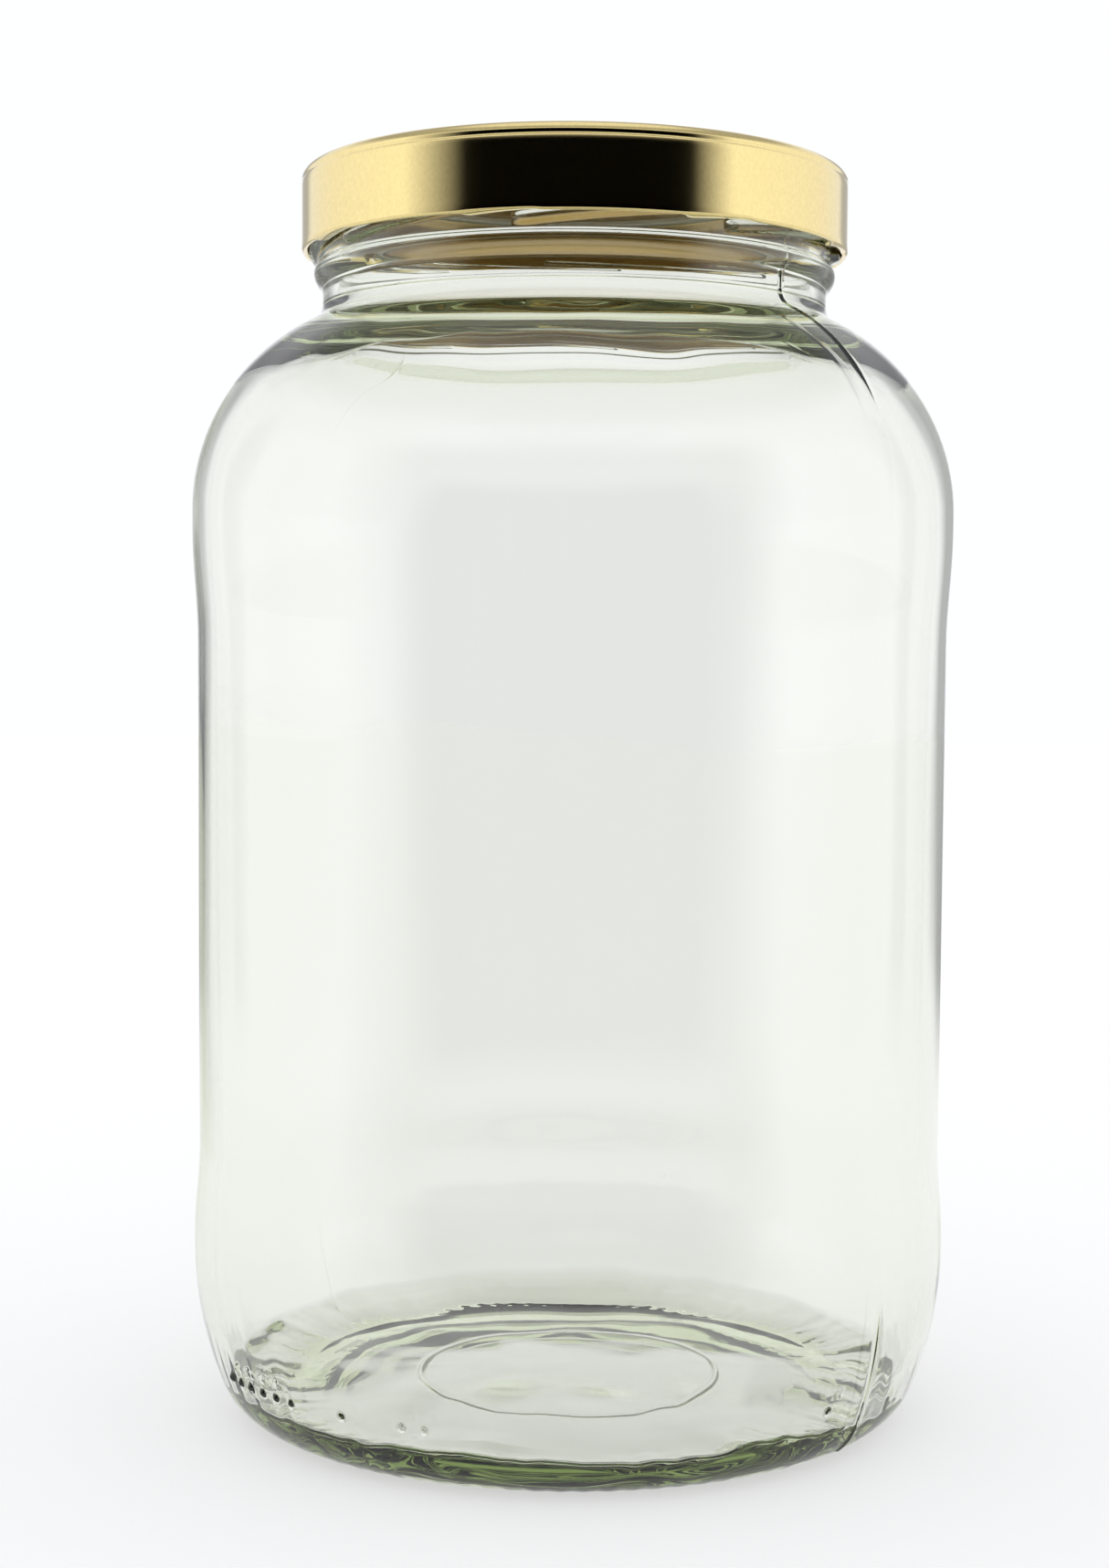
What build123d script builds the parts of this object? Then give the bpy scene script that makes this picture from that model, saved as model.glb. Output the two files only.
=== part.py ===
from build123d import *
import math
import os

# A one-gallon wide-mouth glass jar with a one-piece twist-off metal lid.
# Millimetres, +Z up, origin on the jar's axis at the height of the surface it stands on.

# Glass body, outside
jar_height = 252.6
body_radius = 77.9          # the two bands that stand proud of the label panel
panel_recess = 1.05
lower_band_top = 38.0       # height where the lower band begins to blend into the panel
lower_blend = 19.0          # height of the blend from the lower band to the panel
upper_blend = 22.0
upper_band = 4.0            # straight height of the upper band, below the shoulder
heel_sweep = 75.0           # radius of the long curve from the lower band towards the base
heel_sweep_top = 36.0
heel_radius = 12.8          # radius of the tight curve that rolls onto the bearing ring
shoulder_radius = 42.3
neck_fillet = 4.0

# Glass base, underside and inside
bearing_width = 2.4
bearing_round = 1.6
push_up = 4.2               # rise of the underside's dome
wall = 3.5                  # glass thickness at the bands
floor_centre = 8.8
floor_edge = 7.4
inner_heel = 14.0

# Glass finish: neck, transfer bead, threaded wall and lip
finish_radius = 52.6
neck_step = 1.1             # how far the neck lies inside the finish wall
neck_height = 3.4
bead_proud = 0.55
bead_height = 4.6
finish_height = 17.0        # from the top of the bead to the lip
lip_round = 1.7

# Threads and the lugs that run under them
starts = 8
thread_lead = 32.0
thread_span = 62.0
thread_turned = 34.4        # direction of the first thread's lower end, anticlockwise from -Y
thread_rise = 1.7           # the lower end's middle, above the bead
thread_root = 2.4
thread_crest = 1.2
thread_depth = 1.6
thread_sunk = 0.8
end_inset = 0.15            # how much slimmer the rounded ends are than the rib
lug_turned = 30.1
lug_span = 15.0
lug_thickness = 1.2
lug_clearance = 0.35        # between a lug's tip and the finish wall
thread_clearance = 1.2      # between a thread's crest and the inside of the skirt

# Lid and liner
sheet = 0.3
curl_radius = 0.65
corner_round = 2.2
ring_width = 7.5            # flat raised ring around the top, above the sealing channel
panel_drop = 1.1
panel_slope = 1.6
liner_thickness = 1.6
liner_round = 0.5
liner_overlap = 0.9         # how far the liner reaches past the lip on each side
seal_gap = 0.05
liner_gap = 0.05

ARC_STEPS = 8               # spans in each gentle curve

# Heights and radii that follow from the sizes above
panel_radius = body_radius - panel_recess
inner_radius = body_radius - wall
neck_radius = finish_radius - neck_step
bead_top = jar_height - finish_height
bead_bottom = bead_top - bead_height
neck_bottom = bead_bottom - neck_height
shoulder_x = body_radius - shoulder_radius
neck_fillet_x = neck_radius + neck_fillet
shoulder_rise = math.sqrt((shoulder_radius + neck_fillet) ** 2 - (neck_fillet_x - shoulder_x) ** 2)
shoulder_z = neck_bottom - shoulder_rise
shoulder_end = math.degrees(math.atan2(shoulder_rise, neck_fillet_x - shoulder_x))
upper_band_bottom = shoulder_z - upper_band
panel_bottom = lower_band_top + lower_blend
panel_top = upper_band_bottom - upper_blend
inner_shoulder = shoulder_radius - wall
inner_neck_fillet = neck_fillet + wall
bore_radius = neck_fillet_x - inner_neck_fillet
heel_x = body_radius - heel_sweep
heel_centre = heel_x + math.sqrt((heel_sweep - heel_radius) ** 2 - (heel_sweep_top - heel_radius) ** 2)
heel_angle = math.degrees(math.atan2(heel_sweep_top - heel_radius, heel_centre - heel_x))
bearing_inner = heel_centre - bearing_width
inner_heel_x = inner_radius - inner_heel
inner_heel_z = floor_edge + inner_heel

thread_pitch = thread_lead / starts
thread_z = bead_top + thread_rise
lug_z = thread_z + thread_lead * (lug_turned - thread_turned) / 360 + thread_pitch / 2
lug_slope = math.degrees(math.atan2(thread_lead, 2 * math.pi * finish_radius))
skirt_inner = finish_radius + thread_depth + thread_clearance
skirt_radius = skirt_inner + sheet
curl_centre = skirt_radius - curl_radius
curl_z = lug_z - lug_thickness / 2 + curl_radius

liner_bottom = jar_height + seal_gap
lid_top = liner_bottom + liner_thickness + liner_gap + sheet


def gentle_arc(centre, radius, start_angle, arc_size):
    """A curve through points of a circle, for stretches whose centre lies near the jar's axis."""
    circle = [
        (
            centre[0] + radius * math.cos(math.radians(start_angle + arc_size * step / ARC_STEPS)),
            centre[1] + radius * math.sin(math.radians(start_angle + arc_size * step / ARC_STEPS)),
        )
        for step in range(ARC_STEPS + 1)
    ]
    headings = [math.radians(start_angle + turn + math.copysign(90, arc_size)) for turn in (0, arc_size)]
    Spline(circle, tangents=[(math.cos(heading), math.sin(heading)) for heading in headings])


def s_blend(radius_low, z_low, radius_high, z_high):
    """A curve that leaves both walls upright."""
    Spline((radius_low, z_low), (radius_high, z_high), tangents=((0, 1), (0, 1)))


def outward(point):
    """Direction away from the jar's axis at a point."""
    return Vector(point.X, point.Y, 0).normalized()


# One thread: a short rib that rises to the right, narrower at its crest, with rounded ends
thread_path = Helix(
    thread_lead,
    thread_lead * thread_span / 360,
    finish_radius,
    center=(0, 0, thread_z),
).rotate(Axis.Z, thread_turned - 90)
thread_flank = (thread_root - thread_crest) / 2 / thread_depth
thread_foot = thread_root / 2 + thread_flank * thread_sunk
with BuildPart() as thread:
    with BuildSketch(Plane(origin=thread_path @ 0, x_dir=outward(thread_path @ 0), z_dir=thread_path % 0)):
        with BuildLine():
            Polyline(
                (-thread_sunk, -thread_foot),
                (thread_depth, -thread_crest / 2),
                (thread_depth, thread_crest / 2),
                (-thread_sunk, thread_foot),
                close=True,
            )
        make_face()
    sweep(path=thread_path, is_frenet=True)
with BuildPart() as thread_ends:
    for end in (thread_path @ 0, thread_path @ 1):
        with Locations(Plane(origin=end - outward(end) * thread_sunk, z_dir=outward(end))):
            Cone(
                thread_foot - end_inset,
                thread_crest / 2 - end_inset,
                thread_sunk + thread_depth,
                align=(Align.CENTER, Align.CENTER, Align.MIN),
            )

# The glass: one revolved section with eight threads around its finish
with BuildPart() as glass_jar:
    with BuildSketch(Plane.XZ) as glass_section:
        with BuildLine() as glass_outline:
            # Underside: the dome, then the ring that the jar stands on
            dome_edge = (bearing_inner - bearing_round, bearing_round)
            dome_slope = -2 * (push_up - bearing_round) / dome_edge[0]
            Spline((0, push_up), dome_edge, tangents=((1, 0), (1, dome_slope)))
            CenterArc((bearing_inner, bearing_round), bearing_round, 180, 90)
            Line((bearing_inner, 0), (heel_centre, 0))
            # Heel, lower band, label panel and upper band
            CenterArc((heel_centre, heel_radius), heel_radius, -90, 90 - heel_angle)
            gentle_arc((heel_x, heel_sweep_top), heel_sweep, -heel_angle, heel_angle)
            Line((body_radius, heel_sweep_top), (body_radius, lower_band_top))
            s_blend(body_radius, lower_band_top, panel_radius, panel_bottom)
            Line((panel_radius, panel_bottom), (panel_radius, panel_top))
            s_blend(panel_radius, panel_top, body_radius, upper_band_bottom)
            Line((body_radius, upper_band_bottom), (body_radius, shoulder_z))
            # Shoulder and neck
            gentle_arc((shoulder_x, shoulder_z), shoulder_radius, 0, shoulder_end)
            CenterArc((neck_fillet_x, neck_bottom), neck_fillet, 180, shoulder_end)
            Line((neck_radius, neck_bottom), (neck_radius, bead_bottom))
            # Transfer bead, finish wall and lip
            bead_middle = (finish_radius + bead_proud, (bead_bottom + bead_top) / 2)
            ThreePointArc((neck_radius, bead_bottom), bead_middle, (finish_radius, bead_top))
            Line((finish_radius, bead_top), (finish_radius, jar_height - lip_round))
            CenterArc((finish_radius - lip_round, jar_height - lip_round), lip_round, 0, 90)
            Line((finish_radius - lip_round, jar_height), (bore_radius + lip_round, jar_height))
            CenterArc((bore_radius + lip_round, jar_height - lip_round), lip_round, 90, 90)
            # Inside: bore, shoulder, wall, heel and floor
            Line((bore_radius, jar_height - lip_round), (bore_radius, neck_bottom))
            CenterArc((neck_fillet_x, neck_bottom), inner_neck_fillet, 180, shoulder_end)
            gentle_arc((shoulder_x, shoulder_z), inner_shoulder, 0, shoulder_end)
            Line((inner_radius, shoulder_z), (inner_radius, inner_heel_z))
            CenterArc((inner_heel_x, inner_heel_z), inner_heel, -90, 90)
            Spline((inner_heel_x, floor_edge), (0, floor_centre), tangents=((-1, 0), (-1, 0)))
            Line((0, floor_centre), (0, push_up))
        make_face()
    revolve(axis=Axis.Z)
    with PolarLocations(0, starts):
        add(thread.part)
        add(thread_ends.part)
glass_jar.part.label = "glass_jar"

# The liner: a ring of sealing compound that sits between the lip and the lid's raised ring
with BuildPart() as lid_liner:
    with BuildSketch(Plane.XZ):
        liner_inner = bore_radius - liner_overlap
        liner_width = finish_radius - bore_radius + 2 * liner_overlap
        with Locations((liner_inner + liner_width / 2, liner_bottom + liner_thickness / 2)):
            RectangleRounded(liner_width, liner_thickness, liner_round)
    revolve(axis=Axis.Z)
lid_liner.part.label = "lid_liner"

# One lug: the curl pressed inward to a short tab, sloped like the threads
lug_outward = Vector(1, 0, 0).rotate(Axis.Z, lug_turned - 90)
lug_normal = Vector(0, 0, 1).rotate(Axis((0, 0, 0), tuple(lug_outward)), lug_slope)
with BuildPart() as lug:
    with BuildSketch(Plane(origin=(0, 0, lug_z), x_dir=lug_outward, z_dir=lug_normal)):
        with BuildLine():
            lug_tip = finish_radius + lug_clearance
            inner_edge = CenterArc((0, 0), lug_tip, -lug_span / 2, lug_span)
            outer_edge = CenterArc((0, 0), curl_centre, -lug_span / 2, lug_span)
            Line(inner_edge @ 0, outer_edge @ 0)
            Line(inner_edge @ 1, outer_edge @ 1)
        make_face()
    extrude(amount=lug_thickness / 2, both=True)

# The lid: one pressed sheet with a sunk middle, a raised ring, a skirt, a curl and eight lugs
with BuildPart() as lid_shell:
    with BuildSketch(Plane.XZ):
        with BuildLine() as sheet_middle:
            skirt_middle = skirt_radius - sheet / 2
            top_middle = lid_top - sheet / 2
            ring_inner = skirt_middle - corner_round - ring_width
            Polyline(
                (0, top_middle - panel_drop),
                (ring_inner - panel_slope, top_middle - panel_drop),
                (ring_inner, top_middle),
                (skirt_middle - corner_round, top_middle),
            )
            CenterArc((skirt_middle - corner_round, top_middle - corner_round), corner_round, 0, 90)
            Line((skirt_middle, top_middle - corner_round), (skirt_middle, curl_z))
        trace(line_width=sheet)
        with Locations((curl_centre, curl_z)):
            Circle(curl_radius)
    revolve(axis=Axis.Z)
    with PolarLocations(0, starts):
        add(lug.part)
lid_shell.part.label = "lid_shell"

os.makedirs("parts", exist_ok=True)
export_step(glass_jar.part, "parts/glass_jar.step")
export_step(lid_liner.part, "parts/lid_liner.step")
export_step(lid_shell.part, "parts/lid_shell.step")
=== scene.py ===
"""Looks of a one-gallon wide-mouth glass jar with a twist-off metal lid, around its CAD frame."""

import math

import bmesh
import bpy
import numpy as np
from mathutils import Matrix, Vector, noise


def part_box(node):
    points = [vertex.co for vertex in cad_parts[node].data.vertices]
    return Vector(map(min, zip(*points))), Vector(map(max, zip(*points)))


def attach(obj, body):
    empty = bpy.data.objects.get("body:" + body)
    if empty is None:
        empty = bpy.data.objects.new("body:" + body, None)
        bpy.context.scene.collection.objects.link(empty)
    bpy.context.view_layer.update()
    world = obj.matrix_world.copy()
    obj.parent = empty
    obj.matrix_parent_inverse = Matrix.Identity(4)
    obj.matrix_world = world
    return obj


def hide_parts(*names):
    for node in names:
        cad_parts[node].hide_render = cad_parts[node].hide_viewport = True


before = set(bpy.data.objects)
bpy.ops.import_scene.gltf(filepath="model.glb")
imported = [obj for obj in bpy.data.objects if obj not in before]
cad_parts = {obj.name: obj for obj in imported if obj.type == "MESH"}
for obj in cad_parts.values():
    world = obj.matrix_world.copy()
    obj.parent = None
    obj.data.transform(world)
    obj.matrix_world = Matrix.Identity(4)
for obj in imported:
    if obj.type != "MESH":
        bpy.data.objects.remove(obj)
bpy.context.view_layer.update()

bl_info = {
    "name": "Wide-mouth jar",
    "version": (1, 0, 0),
    "blender": (4, 5, 0),
    "location": "3D View > Sidebar > Jar",
    "description": "Builds a wide-mouth glass jar, its sealing ring, its twist-off lid and a plain studio",
    "category": "Add Mesh",
}

JAR_LOW, JAR_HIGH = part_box("glass_jar")
LINER_LOW, LINER_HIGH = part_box("lid_liner")
LID_LOW, LID_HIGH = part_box("lid_shell")
COLUMNS = 360
MM = 0.001


# Settings a user would change

def size(name, default, description):
    """A length in metres."""
    return bpy.props.FloatProperty(
        name=name, description=description, default=default, unit="LENGTH", precision=5
    )


def number(name, default, description):
    """A plain number."""
    return bpy.props.FloatProperty(name=name, description=description, default=default)


def angle(name, degrees, description):
    """An angle, given in degrees and kept in radians."""
    return bpy.props.FloatProperty(
        name=name, description=description, default=math.radians(degrees), subtype="ANGLE"
    )


def colour(name, hex_value, description):
    """A colour, given as an sRGB hex value."""
    return bpy.props.FloatVectorProperty(
        name=name, description=description, default=linear(hex_value), subtype="COLOR", size=3, min=0, max=1
    )


def linear(hex_value):
    """An sRGB hex value as three linear numbers."""
    channels = [int(hex_value[i:i + 2], 16) / 255 for i in (1, 3, 5)]
    return [c / 12.92 if c <= 0.04045 else ((c + 0.055) / 1.055) ** 2.4 for c in channels]


class JarGlassSettings(bpy.types.PropertyGroup):
    """Sizes and colours of the moulded glass."""

    panel_recess: size("Panel recess", 1.05 * MM, "How far the label panel lies inside the two bands")
    lower_band_top: size("Lower band top", 38 * MM, "Height where the lower band begins to blend away")
    lower_blend: size("Lower blend", 19 * MM, "Height of the blend from the lower band to the panel")
    upper_blend: size("Upper blend", 22 * MM, "Height of the blend from the panel to the upper band")
    upper_band: size("Upper band", 4 * MM, "Straight height of the upper band")
    heel_sweep: size("Heel sweep", 75 * MM, "Radius of the long curve from the lower band towards the base")
    heel_sweep_top: size("Heel sweep top", 36 * MM, "Height where that curve starts")
    heel_radius: size("Heel radius", 12.8 * MM, "Radius of the curve that rolls onto the bearing ring")
    shoulder_radius: size("Shoulder radius", 42.3 * MM, "Radius of the shoulder's curve")
    neck_fillet: size("Neck fillet", 4 * MM, "Radius where the shoulder turns into the neck")
    bearing_width: size("Bearing width", 2.4 * MM, "Width of the ring the jar stands on")
    push_up: size("Push-up", 4.2 * MM, "Rise of the underside's dome")
    wall: size("Wall", 3.5 * MM, "Glass thickness at the bands")
    floor_centre: size("Floor centre", 8.0 * MM, "Height of the inside floor at the axis")
    floor_edge: size("Floor edge", 7.0 * MM, "Height of the inside floor at its edge")
    crease_height: size("Crease height", 9.4 * MM, "Height where the wall and the inside floor meet")
    crease_reach: size("Crease reach", 20 * MM, "Width of the slope from the crease to the floor")
    crease_wander: size("Crease wander", 2.2 * MM, "How far the crease wanders up and down")
    gather: size("Gather", 2.0 * MM, "Extra thickness of glass at the top of the shoulder")
    finish_radius: size("Finish radius", 52.6 * MM, "Outside radius of the threaded wall")
    neck_step: size("Neck step", 1.1 * MM, "How far the neck lies inside the threaded wall")
    neck_height: size("Neck height", 3.4 * MM, "Straight height of the neck")
    bead_proud: size("Bead proud", 0.55 * MM, "How far the transfer bead stands out of the threaded wall")
    bead_height: size("Bead height", 4.6 * MM, "Height of the transfer bead")
    finish_height: size("Finish height", 17 * MM, "Height from the top of the transfer bead to the lip")
    lip_round: size("Lip round", 1.7 * MM, "Rounding of the lip")
    thread_lead: size("Thread lead", 32 * MM, "Rise of a thread in one turn")
    thread_span: angle("Thread span", 62, "Length of each thread round the jar")
    thread_turned: angle("Thread turned", 34.4, "Direction of the first thread's lower end")
    thread_rise: size("Thread rise", 1.7 * MM, "Height of the lower end's middle over the bead")
    thread_depth: size("Thread depth", 1.55 * MM, "How far a thread stands out")
    waviness: size("Waviness", 0.32 * MM, "How far the inside of the wall wanders, as blown glass does")
    floor_waviness: size("Floor waviness", 1.2 * MM, "How far the inside floor wanders")
    tint: colour("Tint", "#CDD6B5", "Colour left of white light by a thick piece of the glass")
    tint_depth: size("Tint depth", 40 * MM, "Thickness of glass that leaves that colour")


class JarLidSettings(bpy.types.PropertyGroup):
    """Sizes and colours of the lid and its sealing ring."""

    sheet: size("Sheet", 0.3 * MM, "Thickness of the tinplate with its lacquer")
    curl_radius: size("Curl radius", 0.65 * MM, "Radius of the rolled edge")
    corner_round: size("Corner round", 2.2 * MM, "Radius of the top corner")
    ring_width: size("Ring width", 7.5 * MM, "Width of the raised ring above the sealing channel")
    panel_drop: size("Panel drop", 1.1 * MM, "How far the middle is sunk below the ring")
    panel_slope: size("Panel slope", 1.6 * MM, "Width of the slope down to the middle")
    lug_turned: angle("Lug turned", 30.1, "Direction of the first lug")
    lug_span: angle("Lug span", 15, "Length of each lug round the lid")
    lug_reach: size("Lug reach", 1.45 * MM, "How far a lug reaches inside the curl")
    gold: colour("Gold", "#EBD694", "Colour of the lacquered tinplate")
    gold_inside: colour("Gold inside", "#C2A35E", "Colour of the lacquer inside the lid")
    compound: colour("Compound", "#D8D2BE", "Colour of the sealing compound")
    grain: size("Grain", 0.5 * MM, "Spacing of the rolling grain across its run")
    grain_run: size("Grain run", 8 * MM, "Length of a streak of the grain")


class JarStageSettings(bpy.types.PropertyGroup):
    """Camera, floor and light."""

    distance: size("Camera distance", 0.5337, "Distance of the camera from the jar's axis")
    height: size("Camera height", 0.152, "Height of the camera over the floor")
    tilt: angle("Camera tilt", 4.18, "How far the camera looks down")
    roll: angle("Camera roll", 0.39, "How far the camera is turned about its own axis")
    focal: number("Focal length", 58.84, "Focal length in millimetres")
    shift_x: number("Shift across", -0.0102, "Lens shift to the right, in widths of the view")
    shift_y: number("Shift up", 0.0532, "Lens shift upwards, in widths of the view")
    table: colour("Table", "#BCBCBC", "Colour of the light table")
    glow: colour("Glow", "#FFFFFF", "Colour of the light from below the table")
    table_glow: number("Table glow", 0.5, "Strength of that light")
    room: colour("Room", "#FBFCFF", "Colour of the room's light")
    room_light: number("Room light", 1.03, "Strength of the room's light")


# Meshes

SAME_POINT = 1e-7               # metres
ON_AXIS = 1e-9


def line(start, end, step):
    """Evenly spaced points from start to end."""
    count = max(1, round(math.dist(start, end) / step))
    return [(start[0] + (end[0] - start[0]) * i / count, start[1] + (end[1] - start[1]) * i / count)
            for i in range(count + 1)]


def arc(centre, radius, start, sweep, step):
    """Points of an arc, with angles in degrees."""
    count = max(2, round(radius * math.radians(abs(sweep)) / step))
    angles = [math.radians(start + sweep * i / count) for i in range(count + 1)]
    return [(centre[0] + radius * math.cos(a), centre[1] + radius * math.sin(a)) for a in angles]


def blend(start, end, step):
    """Points of a curve that leaves start and meets end upright."""
    width, height = end[0] - start[0], end[1] - start[1]
    rise = line((0, start[1]), (0, end[1]), step)
    return [(start[0] + width * smooth((z - start[1]) / height), z) for _, z in rise]


def smooth(value):
    """Smooth step from 0 to 1."""
    value = min(1, max(0, value))
    return value * value * (3 - 2 * value)


def chain(*stretches):
    """One outline out of several stretches that meet end to end."""
    outline = []
    for stretch in stretches:
        outline += [p for p in stretch if not outline or math.dist(p, outline[-1]) > SAME_POINT]
    return outline


def spun(name, outline, azimuths, place, closed=False):
    """A mesh object turned about the axis. place says where a point of the outline goes at an azimuth."""
    rows = [[Vector(place(i, r, z, a)) for a in azimuths] for i, (r, z) in enumerate(outline)]
    mesh_builder = bmesh.new()
    rings = []
    for (r, z), row in zip(outline, rows):
        rings.append([mesh_builder.verts.new(p) for p in (row[:1] if r < ON_AXIS else row)])
    pairs = list(zip(rings, rings[1:])) + ([(rings[-1], rings[0])] if closed else [])
    count = len(azimuths)
    for low, high in pairs:
        for i in range(count):
            j = (i + 1) % count
            corners = [low[0]] if len(low) == 1 else [low[i], low[j]]
            corners += [high[0]] if len(high) == 1 else [high[j], high[i]]
            mesh_builder.faces.new(corners).smooth = True
    bmesh.ops.recalc_face_normals(mesh_builder, faces=mesh_builder.faces)
    mesh = bpy.data.meshes.new(name)
    mesh_builder.to_mesh(mesh)
    mesh_builder.free()
    piece = bpy.data.objects.new(name, mesh)
    bpy.context.scene.collection.objects.link(piece)
    return piece


def polar(radius, azimuth, z):
    """A point at an azimuth in degrees, counted anticlockwise from the front."""
    turned = math.radians(azimuth - 90)
    return (radius * math.cos(turned), radius * math.sin(turned), z)


def normals_of(outline):
    """Direction to the right-hand side of the outline's run at each point."""
    directions = []
    for i in range(len(outline)):
        before, after = outline[max(0, i - 1)], outline[min(len(outline) - 1, i + 1)]
        run = math.dist(before, after)
        directions.append(((after[1] - before[1]) / run, (before[0] - after[0]) / run))
    return directions


# The glass

THREAD_STARTS = 8
THREAD_CREST = 0.5 * MM         # half widths of a thread at its crest and at its foot
THREAD_FOOT = 1.3 * MM
SEAM_AZIMUTHS = (50.5, 230.5)   # the two lines where the halves of the mould met
SEAM_HEIGHT = 0.2 * MM
SEAM_HALF = 0.5                 # half width of a seam, in degrees
SEAM_CLEAR = 0.65               # even columns nearer to a seam than this are left out
SEAM_PANEL = 0.03               # strength of a seam on the panel, where it is all but smooth
SEAM_HEEL = 1.8                 # strength towards the heel, and the drop over which it grows
SEAM_HEEL_RUN = 15 * MM
SEAM_SHOULDER = 1.4             # strength on the shoulder, where it starts there and how it grows
SEAM_SHOULDER_START = 12 * MM
SEAM_SHOULDER_RUN = 20 * MM
SEAM_FINISH = 0.2               # share of that strength left on the finish
SEAM_BEHIND = 0.25              # share of the front seam's strength that the one behind has
DOME_POWER = 3.5                # how late the dome under the base turns down to the bearing ring
BEAD_POWER = 0.7                # how full the transfer bead's section is
SETTLE_POWER = 1.5              # how the inside floor flattens away from its crease
KNURL_MARKS = 90                # short radial marks on the bearing ring
KNURL_DEPTH = 0.16 * MM
KNURL_EDGE = MM                 # distance over which the marks fade at either end
BAFFLE_RADIUS = 31.5 * MM       # ring left on the underside by the mould's baffle
BAFFLE_HEIGHT = 0.3 * MM
BAFFLE_HALF = 0.9 * MM
GATHER_EDGE = 67 * MM           # radius where the extra glass of the shoulder ends
GATHER_FADE = 15 * MM
GATHER_DEPTH = 7 * MM           # how far below the neck it is full
CREASE_START = 26 * MM          # the wander of the crease sets in below this height
CREASE_RISE = 12 * MM
CREASE_RADIUS = 50 * MM         # and outside this radius
CREASE_GROWTH = 16 * MM
CREASE_BACK = 0.7               # how much higher the crease lies behind than beside
FLOOR_LIMIT = 60 * MM           # radius inside which the floor wanders by itself
CALM_NECK = 14 * MM             # distances over which the wall's wander dies out at its ends
CALM_FLOOR = 20 * MM
DOT_RADIUS = 1.15 * MM          # small raised beads on the heel
DOT_HEIGHT = 0.75 * MM
DOT_POWER = 1.2                 # how round a bead is
DOT_NEAR = 2.6                  # faces within this many radii of a bead are divided
DOT_ROWS = (
    (13.8 * MM, (-62.5, -59.2, -55.7, -52.1, -48.6, -45.1, -34.7, -24.3, -20.8, 41.7)),
    (17.0 * MM, (-58.8, -55.4, -51.8, -47.7, 43.5)),
)


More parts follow.
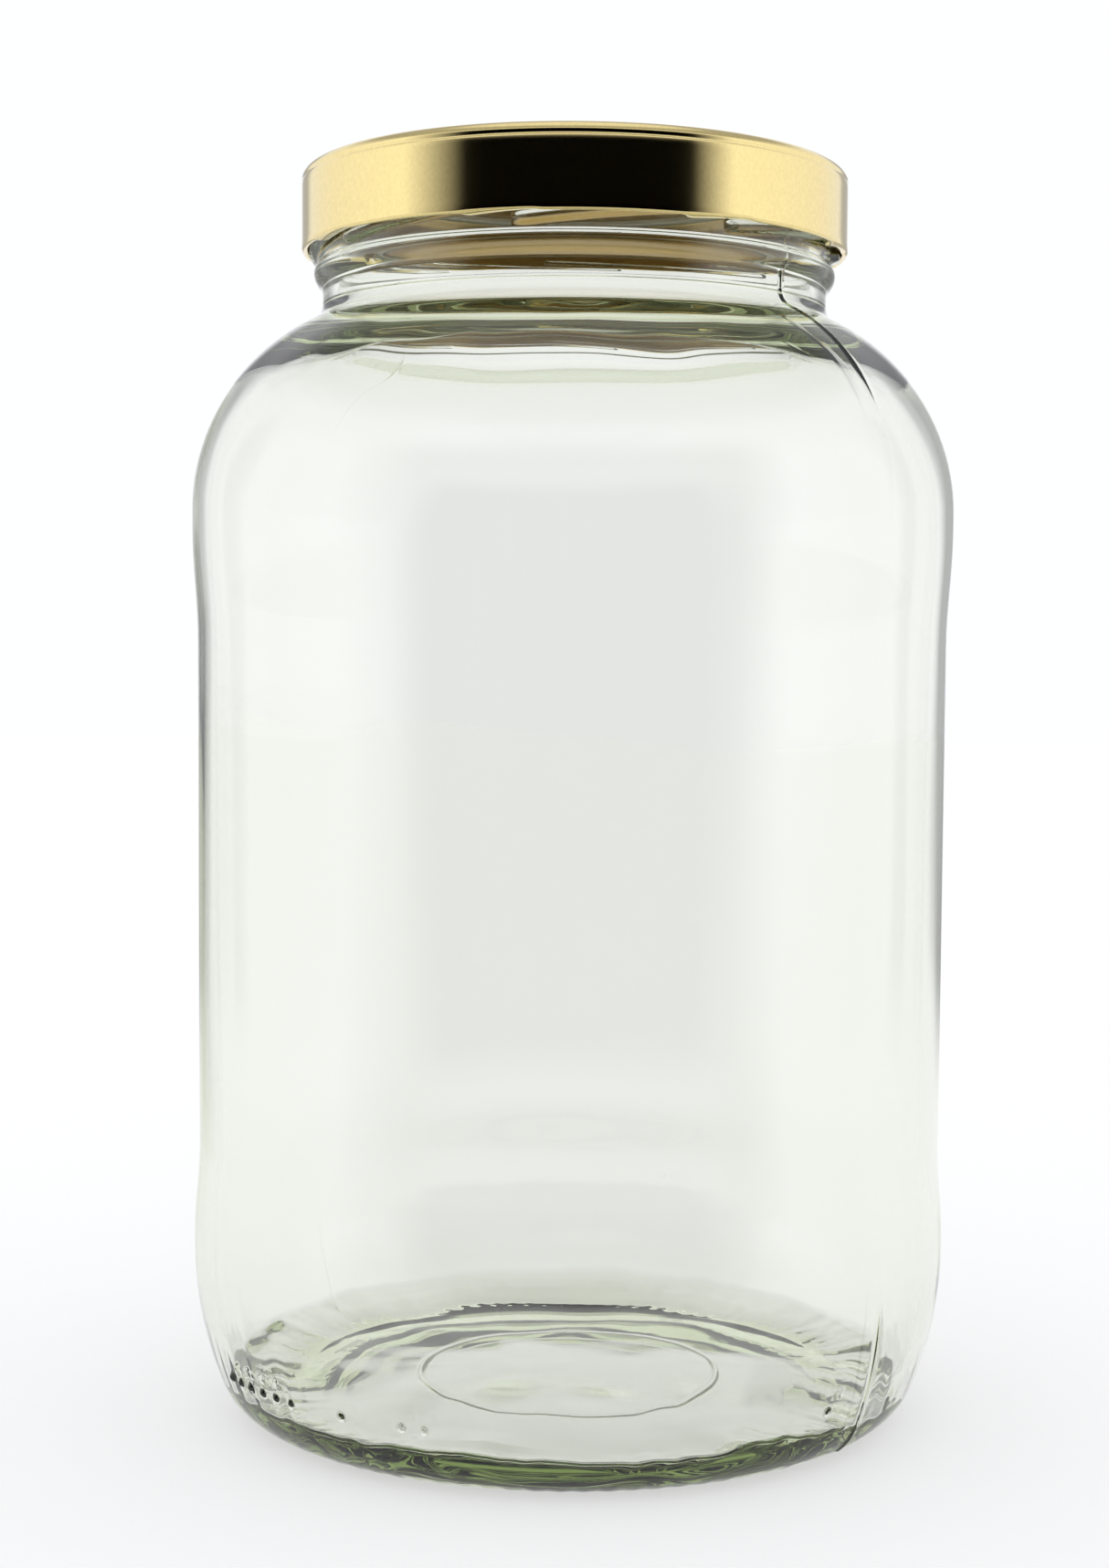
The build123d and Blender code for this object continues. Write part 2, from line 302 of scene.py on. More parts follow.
class JarShape:
    """Outlines and surface relief of the glass, worked out from its settings and the frame."""

    def __init__(self, s):
        self.s = s
        self.height = JAR_HIGH.z
        self.body = JAR_HIGH.x
        self.panel = self.body - s.panel_recess
        self.inner = self.body - s.wall
        self.neck = s.finish_radius - s.neck_step
        self.bead_top = self.height - s.finish_height
        self.bead_bottom = self.bead_top - s.bead_height
        self.neck_bottom = self.bead_bottom - s.neck_height
        self.shoulder_x = self.body - s.shoulder_radius
        self.fillet_x = self.neck + s.neck_fillet
        across = self.fillet_x - self.shoulder_x
        rise = math.sqrt((s.shoulder_radius + s.neck_fillet) ** 2 - across ** 2)
        self.shoulder_z = self.neck_bottom - rise
        self.shoulder_end = math.degrees(math.atan2(rise, across))
        self.bore = self.fillet_x - s.neck_fillet - s.wall
        self.heel_x = self.body - s.heel_sweep
        drop = s.heel_sweep_top - s.heel_radius
        self.heel_centre = self.heel_x + math.sqrt((s.heel_sweep - s.heel_radius) ** 2 - drop ** 2)
        self.heel_angle = math.degrees(math.atan2(drop, self.heel_centre - self.heel_x))
        self.bearing_inner = self.heel_centre - s.bearing_width
        self.thread_z = self.bead_top + s.thread_rise
        self.thread_top = self.thread_z + s.thread_lead * s.thread_span / math.tau + 2 * THREAD_FOOT

    def underside(self):
        """The dome under the base, with close rows where the baffle left its ring."""
        beyond = self.bearing_inner - BAFFLE_RADIUS
        radii = [i * 4 * MM for i in range(7)]
        radii += [BAFFLE_RADIUS + step * BAFFLE_HALF / 2 for step in range(-3, 4)]
        radii += [BAFFLE_RADIUS + 2 * BAFFLE_HALF + beyond * step / 9 for step in range(9)]
        radii = [r for r in radii if r < self.bearing_inner - MM] + [self.bearing_inner]
        return [(r, self.s.push_up * (1 - (r / self.bearing_inner) ** DOME_POWER)) for r in radii]

    def bead(self):
        """The transfer bead: a rounded band between the neck and the threaded wall."""
        crown = self.s.bead_proud + self.s.neck_step / 2
        points = []
        for _, z in line((0, self.bead_bottom), (0, self.bead_top), 0.45 * MM):
            along = (z - self.bead_bottom) / self.s.bead_height
            base = self.neck + (self.s.finish_radius - self.neck) * along
            points.append((base + crown * math.sin(math.pi * along) ** BEAD_POWER, z))
        return points

    def outside(self):
        """Outline from the middle of the underside up and over the lip."""
        s = self.s
        upper = self.shoulder_z - s.upper_band
        panel_low, panel_high = s.lower_band_top + s.lower_blend, upper - s.upper_blend
        lip_z = self.height - s.lip_round
        return chain(
            self.underside(),
            line((self.bearing_inner, 0), (self.heel_centre, 0), 0.8 * MM),
            arc((self.heel_centre, s.heel_radius), s.heel_radius, -90, 90 - self.heel_angle, 0.7 * MM),
            arc((self.heel_x, s.heel_sweep_top), s.heel_sweep, -self.heel_angle, self.heel_angle, 2 * MM),
            line((self.body, s.heel_sweep_top), (self.body, s.lower_band_top), 2 * MM),
            blend((self.body, s.lower_band_top), (self.panel, panel_low), 2 * MM),
            line((self.panel, panel_low), (self.panel, panel_high), 8 * MM),
            blend((self.panel, panel_high), (self.body, upper), 2.2 * MM),
            line((self.body, upper), (self.body, self.shoulder_z), 2 * MM),
            arc((self.shoulder_x, self.shoulder_z), s.shoulder_radius, 0, self.shoulder_end, 2 * MM),
            arc((self.fillet_x, self.neck_bottom), s.neck_fillet,
                180 + self.shoulder_end, -self.shoulder_end, 0.7 * MM),
            line((self.neck, self.neck_bottom), (self.neck, self.bead_bottom), 0.8 * MM),
            self.bead(),
            line((s.finish_radius, self.bead_top), (s.finish_radius, self.thread_top), 0.28 * MM),
            line((s.finish_radius, self.thread_top), (s.finish_radius, lip_z), 1.5 * MM),
            arc((s.finish_radius - s.lip_round, lip_z), s.lip_round, 0, 90, 0.5 * MM),
        )

    def inside(self):
        """Outline from the lip down the bore and the wall to the crease, then over the floor."""
        s = self.s
        lip_z = self.height - s.lip_round
        upper = self.shoulder_z - s.upper_band
        panel_low, panel_high = s.lower_band_top + s.lower_blend, upper - s.upper_blend
        panel_inner = self.panel - s.wall
        sweep = s.heel_sweep - s.wall
        turned = math.degrees(math.asin((s.heel_sweep_top - s.crease_height) / sweep))
        crease_x = self.heel_x + sweep * math.cos(math.radians(turned))
        floor_x = crease_x - s.crease_reach
        drop = s.crease_height - s.floor_edge
        shares = [i / 14 for i in range(15)]
        settle = [(crease_x - s.crease_reach * share, s.floor_edge + drop * (1 - share) ** SETTLE_POWER)
                  for share in shares]
        sag = (s.floor_centre - s.floor_edge) / floor_x ** 2
        floor = [(r, s.floor_centre - sag * r * r) for r, _ in line((floor_x, 0), (0, 0), 2 * MM)]
        return chain(
            arc((self.bore + s.lip_round, lip_z), s.lip_round, 90, 90, 0.5 * MM),
            line((self.bore, lip_z), (self.bore, self.neck_bottom), 2.5 * MM),
            arc((self.fillet_x, self.neck_bottom), s.neck_fillet + s.wall,
                180, self.shoulder_end, 0.8 * MM),
            arc((self.shoulder_x, self.shoulder_z), s.shoulder_radius - s.wall,
                self.shoulder_end, -self.shoulder_end, 1.2 * MM),
            line((self.inner, self.shoulder_z), (self.inner, upper), 2 * MM),
            blend((self.inner, upper), (panel_inner, panel_high), 2.2 * MM),
            line((panel_inner, panel_high), (panel_inner, panel_low), 8 * MM),
            blend((panel_inner, panel_low), (self.inner, s.lower_band_top), 2 * MM),
            arc((self.heel_x, s.heel_sweep_top), sweep, 0, -turned, 1.2 * MM),
            settle,
            floor,
        )

    def thread(self, azimuth, z):
        """Height of the threads over the finish wall."""
        s = self.s
        if not self.thread_z - 2 * THREAD_FOOT < z < self.thread_top:
            return 0
        height = 0
        span = math.degrees(s.thread_span)
        for start in range(THREAD_STARTS):
            along = (azimuth - math.degrees(s.thread_turned) - 360 / THREAD_STARTS * start + 90) % 360 - 90
            beyond = max(0, -along, along - span)
            middle = self.thread_z + s.thread_lead * min(max(along, 0), span) / 360
            away = math.hypot(z - middle, s.finish_radius * math.radians(beyond))
            height = max(height, 1 - smooth((away - THREAD_CREST) / (THREAD_FOOT - THREAD_CREST)))
        return s.thread_depth * height

    def seam(self, azimuth):
        """Height of the mould's seams."""
        away = min(abs((azimuth - seam + 180) % 360 - 180) for seam in SEAM_AZIMUTHS)
        return SEAM_HEIGHT * (1 - smooth(away / SEAM_HALF))

    def outer_relief(self, azimuth, r, z):
        """Height of the threads, seams, knurl and baffle ring over the outside."""
        if z > self.thread_top:
            return 0
        if r < self.bearing_inner and z <= self.s.push_up:
            return BAFFLE_HEIGHT * (1 - smooth(abs(r - BAFFLE_RADIUS) / BAFFLE_HALF))
        knurl_top = self.s.heel_radius / 5
        if z < knurl_top:
            reach = smooth((r - self.heel_centre) / KNURL_EDGE) * smooth((knurl_top - z) / KNURL_EDGE)
            return -KNURL_DEPTH * reach * (0.5 + 0.5 * math.sin(math.radians(azimuth * KNURL_MARKS)))
        low = SEAM_HEEL * smooth((self.s.lower_band_top - z) / SEAM_HEEL_RUN)
        high = SEAM_SHOULDER * smooth((z - self.shoulder_z - SEAM_SHOULDER_START) / SEAM_SHOULDER_RUN)
        if z > self.bead_bottom:
            high *= SEAM_FINISH
        strength = (SEAM_PANEL + max(low, high)) * (1 if 0 < azimuth < 180 else SEAM_BEHIND)
        return strength * self.seam(azimuth) + self.thread(azimuth, z)

    def gather(self, point, r, z):
        """Extra glass left at the top of the shoulder, ending in a cloudy edge."""
        cloud = noise.noise(point / (30 * MM)) + 0.5 * noise.noise(point / (8 * MM))
        edge = GATHER_EDGE + MM * cloud
        below_neck = smooth((self.neck_bottom + MM - z) / GATHER_DEPTH) if z > self.shoulder_z else 0
        return self.s.gather * below_neck * smooth((edge - r) / GATHER_FADE)

    def crease_drop(self, azimuth, r, z):
        """How far the crease round the floor wanders up or down."""
        low = smooth((CREASE_START - z) / CREASE_RISE)
        wide = smooth((r - CREASE_RADIUS) / CREASE_GROWTH)
        along = Vector(polar(70 * MM, azimuth, 0))
        wander = noise.noise(along / (45 * MM)) + 0.45 * noise.noise(along / (15 * MM))
        ripple = 0.25 * noise.noise(along / (4.5 * MM))
        back = -CREASE_BACK * math.cos(math.radians(azimuth))
        return self.s.crease_wander * low * wide * (back + wander + ripple)

    def inner_wander(self, azimuth, r, z):
        """How far the inside wanders from its outline, as it does where no mould touches it."""
        s = self.s
        point = Vector(polar(r, azimuth, z))
        if z > self.neck_bottom + MM:
            return 0
        if r < FLOOR_LIMIT and z < s.crease_height:
            wide = noise.noise(point / (26 * MM) + Vector((3, 9, 2)))
            return s.floor_waviness * (wide + 0.3 * noise.noise(point / (11 * MM)))
        wide = noise.noise(point / (52 * MM))
        drawn = noise.noise(Vector((point.x / (17 * MM), point.y / (17 * MM), z / (110 * MM))))
        calm = smooth((self.neck_bottom - z) / CALM_NECK) * smooth((z - s.crease_height) / CALM_FLOOR)
        return s.waviness * (0.9 * wide + 0.5 * drawn) * calm + self.gather(point, r, z)


def dot_places(shape):
    """Middles of the heel's raised beads and the directions they point in."""
    s = shape.s
    for height, azimuths in DOT_ROWS:
        radius = shape.heel_x + math.sqrt(s.heel_sweep ** 2 - (s.heel_sweep_top - height) ** 2)
        if height < s.heel_radius * (1 - math.sin(math.radians(shape.heel_angle))):
            radius = shape.heel_centre + math.sqrt(s.heel_radius ** 2 - (s.heel_radius - height) ** 2)
        for azimuth in azimuths:
            place = Vector(polar(radius, azimuth, height))
            yield place, (place - Vector(polar(shape.heel_x, azimuth, s.heel_sweep_top))).normalized()


def raise_dots(piece, shape):
    """Divides the faces round each bead finely and lifts them into a small round swelling."""
    builder = bmesh.new()
    builder.from_mesh(piece.data)
    for place, direction in dot_places(shape):
        near = [f for f in builder.faces
                if (f.calc_center_median() - place).length < DOT_NEAR * DOT_RADIUS]
        edges = {e for f in near for e in f.edges}
        bmesh.ops.subdivide_edges(builder, edges=list(edges), cuts=5, use_grid_fill=True)
        for vert in builder.verts:
            away = (vert.co - place).length / DOT_RADIUS
            if away < 1:
                vert.co += direction * DOT_HEIGHT * (1 - away * away) ** DOT_POWER
    for face in builder.faces:
        face.smooth = True
    builder.to_mesh(piece.data)
    builder.free()


def jar_azimuths():
    """Even columns round the jar, with closer ones in place of them on each seam."""
    even = [360 * i / COLUMNS for i in range(COLUMNS)]
    clear = [a for a in even if all(abs(a - seam) > SEAM_CLEAR for seam in SEAM_AZIMUTHS)]
    return sorted(clear + [seam + SEAM_HALF * step / 2 for seam in SEAM_AZIMUTHS for step in range(-2, 3)])


class JAR_OT_glass(bpy.types.Operator):
    """Makes the moulded glass with its threads, seams, heel beads and wandering inside"""

    bl_idname = "jar.glass"
    bl_label = "Glass"

    def execute(self, context):
        settings = context.scene.jar_glass
        shape = JarShape(settings)
        outside, inside = shape.outside(), shape.inside()
        outline = chain(outside, inside)
        normals = normals_of(outline)
        turn = len(outside)

        def place(i, r, z, azimuth):
            if r < ON_AXIS:
                return (0, 0, z)
            if i < turn:
                lift, rise = shape.outer_relief(azimuth, r, z), 0
            else:
                lift, rise = shape.inner_wander(azimuth, r, z), shape.crease_drop(azimuth, r, z)
            nr, nz = normals[i]
            return polar(r + nr * lift, azimuth, z + nz * lift + rise)

        piece = spun("glass_body", outline, jar_azimuths(), place)
        raise_dots(piece, shape)
        piece.data.materials.append(soda_lime_glass(settings))
        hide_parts("glass_jar")
        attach(piece, "jar")
        return {"FINISHED"}


# The lid and its sealing ring

LUG_EDGE = 1.3                  # degrees over which a lug rises out of the curl
LUG_FADE = 1.2 * MM             # height over which a lug leaves the skirt
LUG_LIMIT = 2.2                 # points further in than this many widths of the curl stay in place
INNER_RING_WIDTH = 5 * MM       # low ring pressed into the sunk middle
INNER_RING_HEIGHT = 0.35 * MM
INNER_RING_INSET = 7 * MM       # from the slope to that ring
CORNER_SWEEP = 78               # degrees of the top corner, before the groove under it
CORNER_GROOVE = ((0.14 * MM, 0.1 * MM), (0.18 * MM, -0.15 * MM), (0.06 * MM, -0.4 * MM))
GROOVE_END = 0.7 * MM           # where the skirt is full again, below the corner's middle
CURL_SWEEP = 255                # degrees that the sheet is rolled
CURL_MOUTH = 0.95 * MM          # where the rolled edge meets the skirt, above the curl's middle
LINER_ROUND = 0.45 * MM
LINER_FLOW = 0.25 * MM          # how far the compound's inner edge wavers
LINER_WAVES = 14                # how closely it does


def pressed_step(start, end):
    """Points of a smooth step pressed between two levels."""
    across, rise = end[0] - start[0], end[1] - start[1]
    return [(start[0] + across * i / 6, start[1] + rise * smooth(i / 6)) for i in range(7)]


def lid_outline(s):
    """The lid's section: outside from the axis to the curl, and inside back to the axis."""
    top, radius = LID_HIGH.z, LID_HIGH.x
    corner_x, corner_z = radius - s.corner_round, top - s.corner_round
    ring_inner = corner_x - s.ring_width
    middle = top - s.panel_drop
    curl_x = radius - s.curl_radius
    curl_z = LID_LOW.z + 2 * s.curl_radius
    slope = ring_inner - s.panel_slope
    low_ring = slope - INNER_RING_INSET
    low_ring_start = low_ring - INNER_RING_WIDTH
    shares = [i / 6 for i in range(7)]
    outside = chain(
        line((0, middle), (low_ring_start, middle), 8 * MM),
        [(low_ring_start + INNER_RING_WIDTH * share,
          middle + INNER_RING_HEIGHT * math.sin(math.pi * share) ** 2) for share in shares],
        line((low_ring, middle), (slope, middle), 1.2 * MM),
        pressed_step((slope, middle), (ring_inner, top)),
        line((ring_inner, top), (corner_x, top), 1.3 * MM),
        arc((corner_x, corner_z), s.corner_round, 90, -CORNER_SWEEP, 0.25 * MM),
        [(radius - depth, corner_z + rise) for depth, rise in CORNER_GROOVE],
        line((radius, corner_z - GROOVE_END), (radius, curl_z), 0.9 * MM),
        arc((curl_x, curl_z), s.curl_radius, 0, -CURL_SWEEP, 0.2 * MM),
    )
    wall, under_top, under_middle = radius - s.sheet, top - s.sheet, middle - s.sheet
    inside = chain(
        line((wall, curl_z + CURL_MOUTH), (wall, corner_z), 1.2 * MM),
        arc((corner_x, corner_z), s.corner_round - s.sheet, 0, 90, 0.35 * MM),
        line((corner_x, under_top), (ring_inner + 0.4 * s.sheet, under_top), 1.5 * MM),
        pressed_step((ring_inner, under_top), (slope, under_middle))[1:],
        line((slope, under_middle), (0, under_middle), 5 * MM),
    )
    return outside, inside


def lug_press(azimuth, s):
    """How far a lug is pressed, from 0 to 1, and how far along it the azimuth lies, in degrees."""
    pitch = 360 / THREAD_STARTS
    along = (azimuth - math.degrees(s.lug_turned) + pitch / 2) % pitch - pitch / 2
    half = math.degrees(s.lug_span) / 2
    return 1 - smooth((abs(along) - half + LUG_EDGE) / (2 * LUG_EDGE)), along


class JAR_OT_lid(bpy.types.Operator):
    """Makes the pressed tinplate lid with its raised ring, skirt, rolled curl and lugs"""

    bl_idname = "jar.lid"
    bl_label = "Lid"

    def execute(self, context):
        s = context.scene.jar_lid
        lead = context.scene.jar_glass.thread_lead
        outside, inside = lid_outline(s)
        outline = chain(outside, inside)
        curl_top = LID_LOW.z + 4 * s.curl_radius
        width = 2 * s.curl_radius

        def place(i, r, z, azimuth):
            if r < LID_HIGH.x - LUG_LIMIT * width:
                return polar(r, azimuth, z)
            press, along = lug_press(azimuth, s)
            depth = max(0, LID_HIGH.x - r) / width
            share = press * depth * smooth((curl_top - z) / LUG_FADE)
            return polar(r - s.lug_reach * share, azimuth, z + lead * along / 360 * share)

        azimuths = [360 * i / COLUMNS for i in range(COLUMNS)]
        piece = spun("lid_tinplate", outline, azimuths, place)
        outer = lacquered_tinplate("gold_lacquered_tinplate", s.gold, OUTER_ROUGHNESS, s)
        inner = lacquered_tinplate("buff_lacquered_tinplate", s.gold_inside, INNER_ROUGHNESS, s)
        piece.data.materials.append(outer)
        piece.data.materials.append(inner)
        outer_faces = (len(outside) - 1) * COLUMNS
        for face in piece.data.polygons:
            face.material_index = int(face.index >= outer_faces)
        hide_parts("lid_shell")
        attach(piece, "lid")
        return {"FINISHED"}


class JAR_OT_liner(bpy.types.Operator):
    """Makes the ring of sealing compound that the lip closes against"""

    bl_idname = "jar.liner"
    bl_label = "Sealing ring"

    def execute(self, context):
        s = context.scene.jar_lid
        outer, low, high = LINER_HIGH.x, LINER_LOW.z, LINER_HIGH.z
        glass = JarShape(context.scene.jar_glass)
        inner = glass.bore + glass.s.finish_radius - outer
        left, right = inner + LINER_ROUND, outer - LINER_ROUND
        bottom, top = low + LINER_ROUND, high - LINER_ROUND
        outline = chain(
            line((left, low), (right, low), 0.5 * MM),
            arc((right, bottom), LINER_ROUND, -90, 90, 0.2 * MM),
            arc((right, top), LINER_ROUND, 0, 90, 0.2 * MM),
            arc((left, top), LINER_ROUND, 90, 90, 0.2 * MM),
            arc((left, bottom), LINER_ROUND, 180, 90, 0.2 * MM)[:-1],
        )

        def place(i, r, z, azimuth):
            edge = smooth((inner + MM - r) / MM)
            flow = LINER_FLOW * noise.noise(Vector(polar(LINER_WAVES, azimuth, 0)))
            return polar(r + flow * edge, azimuth, z)

        azimuths = [360 * i / (COLUMNS // 2) for i in range(COLUMNS // 2)]
        piece = spun("sealing_ring", outline, azimuths, place, closed=True)
        piece.data.materials.append(sealing_compound(s))
        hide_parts("lid_liner")
        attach(piece, "liner")
        return {"FINISHED"}


# Materials

WHITE = (1, 1, 1, 1)
OUTER_ROUGHNESS = 0.12          # the lacquer outside is glossy, the one inside is dull
INNER_ROUGHNESS = 0.3
GRAIN_TURN = math.radians(38)   # direction of the rolling grain
GRAIN_TONE = 0.12               # how much lighter and darker its streaks are
ABSORPTION_ROOM = 1.02          # keeps every channel of the absorption colour above black


def material(name):
    """An empty node material and its tree."""
    made = bpy.data.materials.new(name)
    made.use_nodes = True
    made.node_tree.nodes.clear()
    return made, made.node_tree


def add(tree, kind, settings=None):
    """Adds a node with its settings, which name inputs or properties, or number inputs.

    A socket as a setting's value is linked, and "stops" fill a colour ramp with greys.
    """
    node = tree.nodes.new(kind)
    for key, value in (settings or {}).items():
        if key == "stops":
            elements = node.color_ramp.elements
            elements.remove(elements[1])
            elements[0].position, elements[0].color = value[0][0], (*[value[0][1]] * 3, 1)
            for position, level in value[1:]:
                elements.new(position).color = (level, level, level, 1)
        elif isinstance(key, str) and key not in node.inputs:
            setattr(node, key, value)
        elif isinstance(value, bpy.types.NodeSocket):
            tree.links.new(value, node.inputs[key])
        else:
            node.inputs[key].default_value = value
    return node


def soda_lime_glass(s):
    """Machine-moulded soda-lime glass: clear in the wall, olive green where the eye looks along it."""
    made, tree = material("moulded_soda_lime_glass")
    surface = add(tree, "ShaderNodeBsdfPrincipled", {
        "Base Color": WHITE, "Transmission Weight": 1.0, "IOR": 1.52, "Roughness": 0.0})
    losses = [-math.log(c) / s.tint_depth for c in s.tint]
    density = max(losses) * ABSORPTION_ROOM
    inside = add(tree, "ShaderNodeVolumeAbsorption", {
        "Color": [1 - loss / density for loss in losses] + [1], "Density": density})
    add(tree, "ShaderNodeOutputMaterial", {"Surface": surface.outputs[0], "Volume": inside.outputs[0]})
    return made


def lacquered_tinplate(name, gold, roughness, s):
    """Cold-rolled tinplate under gold lacquer: a satin metal with the faint straight grain of the rolls."""
    made, tree = material(name)
    place = add(tree, "ShaderNodeTexCoord")
    # Rolling grain is a few hundredths of a millimetre wide, drawn coarser here so that it shows at all
    along = add(tree, "ShaderNodeMapping", {
        "Vector": place.outputs["Object"], "Rotation": (0, 0, GRAIN_TURN),
        "Scale": (1 / s.grain, 1 / s.grain_run, 0.6 / s.grain)})
    grain = add(tree, "ShaderNodeTexNoise", {
        "Vector": along.outputs[0], "Scale": 1.0, "Detail": 2.0, "Roughness": 0.55})
    light, dark = [(*(c * share for c in gold), 1) for share in (1 + GRAIN_TONE, 1 - GRAIN_TONE)]
    tone = add(tree, "ShaderNodeMix", {
        "data_type": "RGBA", "Factor": grain.outputs["Fac"], 6: dark, 7: light})
    bump = add(tree, "ShaderNodeBump", {
        "Height": grain.outputs["Fac"], "Strength": 0.05, "Distance": 0.02 * MM})
    surface = add(tree, "ShaderNodeBsdfPrincipled", {
        "Base Color": tone.outputs[2], "Metallic": 1.0, "Roughness": roughness, "Coat Weight": 0.5,
        "Coat Roughness": 0.08, "Normal": bump.outputs[0]})
    add(tree, "ShaderNodeOutputMaterial", {"Surface": surface.outputs[0]})
    return made


def sealing_compound(s):
    """Foamed plastisol, flowed in and baked: soft, slightly mottled and satin."""
    made, tree = material("plastisol_sealing_compound")
    place = add(tree, "ShaderNodeTexCoord")
    mottle = add(tree, "ShaderNodeTexNoise", {
        "Vector": place.outputs["Object"], "Scale": 1 / (1.5 * MM), "Detail": 4.0})
    bump = add(tree, "ShaderNodeBump", {
        "Height": mottle.outputs["Fac"], "Strength": 0.2, "Distance": 0.1 * MM})
    surface = add(tree, "ShaderNodeBsdfPrincipled", {
        "Base Color": (*s.compound, 1), "Roughness": 0.45, "IOR": 1.5, "Normal": bump.outputs[0]})
    add(tree, "ShaderNodeOutputMaterial", {"Surface": surface.outputs[0]})
    return made


# The studio

GLASS_BOUNCES = 32              # enough for light to pass both walls and the base several times
GLOSS_BOUNCES = 12
FLOOR_REACH = 6.0
FLOOR_DROP = 0.02 * MM          # keeps the floor from lying in the plane of the bearing ring
DARK_BEFORE = (0.18, 0.45)      # distances over which the floor's dark places set in, in front and behind
DARK_BEHIND = (0.35, 0.9)
SIDE_GAIN = 1.25                # strength of the side lights against the room
# The room as reflections see it: degrees round the jar from the front, and the share of side light there
ROUND_LIGHT = (
    (-180, 0.8), (-167, 0.8), (-162, 0.4), (-150, 0.4), (-144, 0.8), (-110, 0.9), (-74, 1.0), (-46, 0.0),
    (49, 0.0), (68, 1.0), (110, 0.9), (144, 0.8), (150, 0.4), (162, 0.4), (167, 0.8), (180, 0.8),
)
DARK_TOP = (math.radians(18), math.radians(32))    # heights between which the dark places end
# The room by height: degrees over the horizon, and the share of full light there
RISING_LIGHT = ((0, 1.0), (34, 1.0), (44, 0.5), (60, 0.5), (72, 1.0), (90, 1.0))


def round_light(tree, way):
    """Share of light that reflections find in a direction, and that direction's parts."""
    parts = add(tree, "ShaderNodeSeparateXYZ", {0: way})
    front = add(tree, "ShaderNodeMath", {"operation": "MULTIPLY", 0: parts.outputs["Y"], 1: -1})
    turned = add(tree, "ShaderNodeMath", {
        "operation": "ARCTAN2", 0: parts.outputs["X"], 1: front.outputs[0]})
    share = add(tree, "ShaderNodeMapRange", {
        "Value": turned.outputs[0], "From Min": -math.pi, "From Max": math.pi})
    stops = [((azimuth + 180) / 360, level) for azimuth, level in ROUND_LIGHT]
    ramp = add(tree, "ShaderNodeValToRGB", {"Fac": share.outputs[0], "stops": stops})
    light = add(tree, "ShaderNodeVectorMath", {
        "operation": "SCALE", 0: ramp.outputs[0], "Scale": SIDE_GAIN})
    return light, parts


def reflected(tree, path):
    """1 for light that comes by a reflection, 0 for light that comes straight or through the glass."""
    return add(tree, "ShaderNodeMath", {
        "operation": "GREATER_THAN", 0: path.outputs["Glossy Depth"], 1: 0.5})


def white_room(s):
    """An even white room with a darker ring of ceiling, and dark places that only reflections show."""
    world = bpy.data.worlds.new("white_room")
    world.use_nodes = True
    world.cycles.sampling_method = "NONE"
    tree = world.node_tree
    tree.nodes.clear()
    place = add(tree, "ShaderNodeTexCoord")
    path = add(tree, "ShaderNodeLightPath")
    around, parts = round_light(tree, place.outputs["Generated"])
    stops = [(math.sin(math.radians(up)), level) for up, level in RISING_LIGHT]
    rising = add(tree, "ShaderNodeValToRGB", {"Fac": parts.outputs["Z"], "stops": stops})
    upward = add(tree, "ShaderNodeMapRange", {
        "interpolation_type": "SMOOTHSTEP", "Value": parts.outputs["Z"],
        "From Min": math.sin(DARK_TOP[0]), "From Max": math.sin(DARK_TOP[1])})
    screened = add(tree, "ShaderNodeMix", {
        "data_type": "RGBA", "Factor": upward.outputs[0], 6: around.outputs[0], 7: WHITE})
    share = add(tree, "ShaderNodeMix", {
        "data_type": "RGBA", "Factor": reflected(tree, path).outputs[0], 6: WHITE, 7: screened.outputs[2]})
    ceiling = add(tree, "ShaderNodeMix", {
        "data_type": "RGBA", "Factor": path.outputs["Is Diffuse Ray"], 6: rising.outputs[0], 7: WHITE})
    both = add(tree, "ShaderNodeMix", {
        "data_type": "RGBA", "blend_type": "MULTIPLY", "Factor": 1.0,
        6: share.outputs[2], 7: ceiling.outputs[2]})
    tinted = add(tree, "ShaderNodeMix", {
        "data_type": "RGBA", "blend_type": "MULTIPLY", "Factor": 1.0,
        6: both.outputs[2], 7: (*s.room, 1)})
    light = add(tree, "ShaderNodeBackground", {"Color": tinted.outputs[2], "Strength": s.room_light})
    add(tree, "ShaderNodeOutputWorld", {"Surface": light.outputs[0]})
    return world


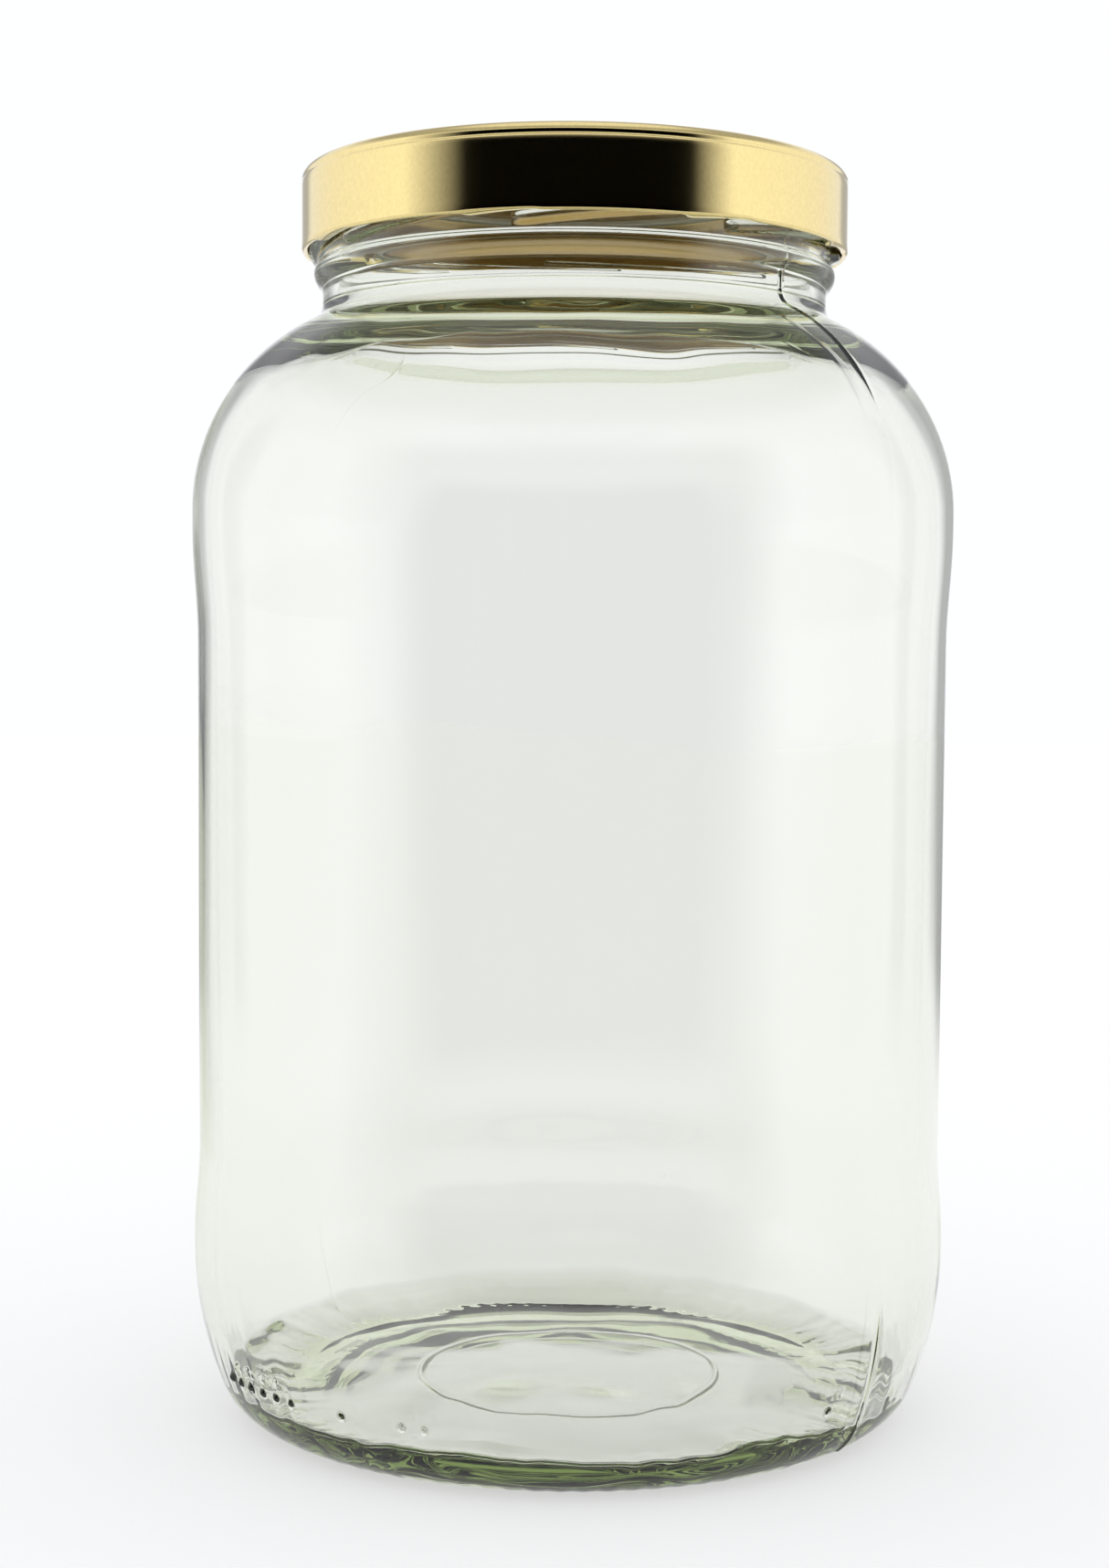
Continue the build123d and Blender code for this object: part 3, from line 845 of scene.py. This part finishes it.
def light_table(s):
    """Opal acrylic of a light table: matte, glowing from below, with dark places for reflections."""
    made, tree = material("opal_acrylic")
    surface = add(tree, "ShaderNodeBsdfPrincipled", {
        "Base Color": (*s.table, 1), "Roughness": 0.9, "Specular IOR Level": 0.1,
        "Emission Color": (*s.glow, 1), "Emission Strength": s.table_glow})
    place = add(tree, "ShaderNodeTexCoord")
    path = add(tree, "ShaderNodeLightPath")
    around, parts = round_light(tree, place.outputs["Object"])
    away = add(tree, "ShaderNodeVectorMath", {"operation": "LENGTH", 0: place.outputs["Object"]})
    before, behind = [
        add(tree, "ShaderNodeMapRange", {
            "interpolation_type": "SMOOTHSTEP", "Value": away.outputs["Value"],
            "From Min": near, "From Max": far})
        for near, far in (DARK_BEFORE, DARK_BEHIND)]
    unlit = add(tree, "ShaderNodeMath", {
        "operation": "SUBTRACT", "use_clamp": True, 0: 1, 1: around.outputs[0]})
    front = add(tree, "ShaderNodeMath", {"operation": "LESS_THAN", 0: parts.outputs["Y"], 1: 0.0})
    reach = add(tree, "ShaderNodeMix", {0: front.outputs[0], 2: behind.outputs[0], 3: before.outputs[0]})
    dark = add(tree, "ShaderNodeMath", {
        "operation": "MULTIPLY", 0: unlit.outputs[0], 1: reach.outputs[0]})
    shown = add(tree, "ShaderNodeMath", {
        "operation": "MULTIPLY", 0: dark.outputs[0], 1: reflected(tree, path).outputs[0]})
    black = add(tree, "ShaderNodeEmission", {"Strength": 0.0})
    mixed = add(tree, "ShaderNodeMixShader", {
        0: shown.outputs[0], 1: surface.outputs[0], 2: black.outputs[0]})
    add(tree, "ShaderNodeOutputMaterial", {"Surface": mixed.outputs[0]})
    return made


class JAR_OT_stage(bpy.types.Operator):
    """Makes the pale floor, the soft white room and the camera"""

    bl_idname = "jar.stage"
    bl_label = "Stage"

    def execute(self, context):
        s = context.scene.jar_stage
        scene = context.scene
        scene.view_settings.view_transform = "Standard"
        scene.cycles.max_bounces = GLASS_BOUNCES
        scene.cycles.transmission_bounces = GLASS_BOUNCES
        scene.cycles.glossy_bounces = GLOSS_BOUNCES
        mesh = bpy.data.meshes.new("floor")
        signs = ((-1, -1), (1, -1), (1, 1), (-1, 1))
        corners = [(x * FLOOR_REACH, y * FLOOR_REACH, -FLOOR_DROP) for x, y in signs]
        mesh.from_pydata(corners, [], [range(4)])
        mesh.materials.append(light_table(s))
        floor = bpy.data.objects.new("floor", mesh)
        scene.collection.objects.link(floor)
        scene.world = white_room(s)
        self.camera(scene, s)
        return {"FINISHED"}

    def camera(self, scene, s):
        """The camera, a little over the middle of the jar's height and looking slightly down."""
        lens = bpy.data.cameras.new("camera")
        lens.lens = s.focal
        lens.shift_x, lens.shift_y = s.shift_x, s.shift_y
        piece = bpy.data.objects.new("camera", lens)
        turn = Matrix.Rotation(math.pi / 2 - s.tilt, 4, "X") @ Matrix.Rotation(s.roll, 4, "Z")
        piece.matrix_world = Matrix.Translation((0, -s.distance, s.height)) @ turn
        scene.collection.objects.link(piece)
        scene.camera = piece


class JAR_PT_sidebar(bpy.types.Panel):
    """Lists the jar's pieces and their settings"""

    bl_idname = "JAR_PT_sidebar"
    bl_label = "Jar"
    bl_space_type = "VIEW_3D"
    bl_region_type = "UI"
    bl_category = "Jar"

    def draw(self, context):
        for maker in OPERATORS:
            self.layout.operator(maker.bl_idname)
        for group in (context.scene.jar_glass, context.scene.jar_lid, context.scene.jar_stage):
            box = self.layout.box()
            for name in group.__annotations__:
                box.prop(group, name)


SETTINGS = {"jar_glass": JarGlassSettings, "jar_lid": JarLidSettings, "jar_stage": JarStageSettings}
OPERATORS = (JAR_OT_glass, JAR_OT_liner, JAR_OT_lid, JAR_OT_stage)


def register():
    """Registers the settings, the operators and the panel."""
    for group in SETTINGS.values():
        bpy.utils.register_class(group)
    for name, group in SETTINGS.items():
        setattr(bpy.types.Scene, name, bpy.props.PointerProperty(type=group))
    for shown in (*OPERATORS, JAR_PT_sidebar):
        bpy.utils.register_class(shown)


def unregister():
    """Takes away all that register added."""
    for shown in (JAR_PT_sidebar, *reversed(OPERATORS)):
        bpy.utils.unregister_class(shown)
    for name in SETTINGS:
        delattr(bpy.types.Scene, name)
    for group in reversed(SETTINGS.values()):
        bpy.utils.unregister_class(group)


def main():
    """Builds every piece."""
    register()
    bpy.ops.jar.glass()
    bpy.ops.jar.liner()
    bpy.ops.jar.lid()
    bpy.ops.jar.stage()


if __name__ == "__main__":
    main()
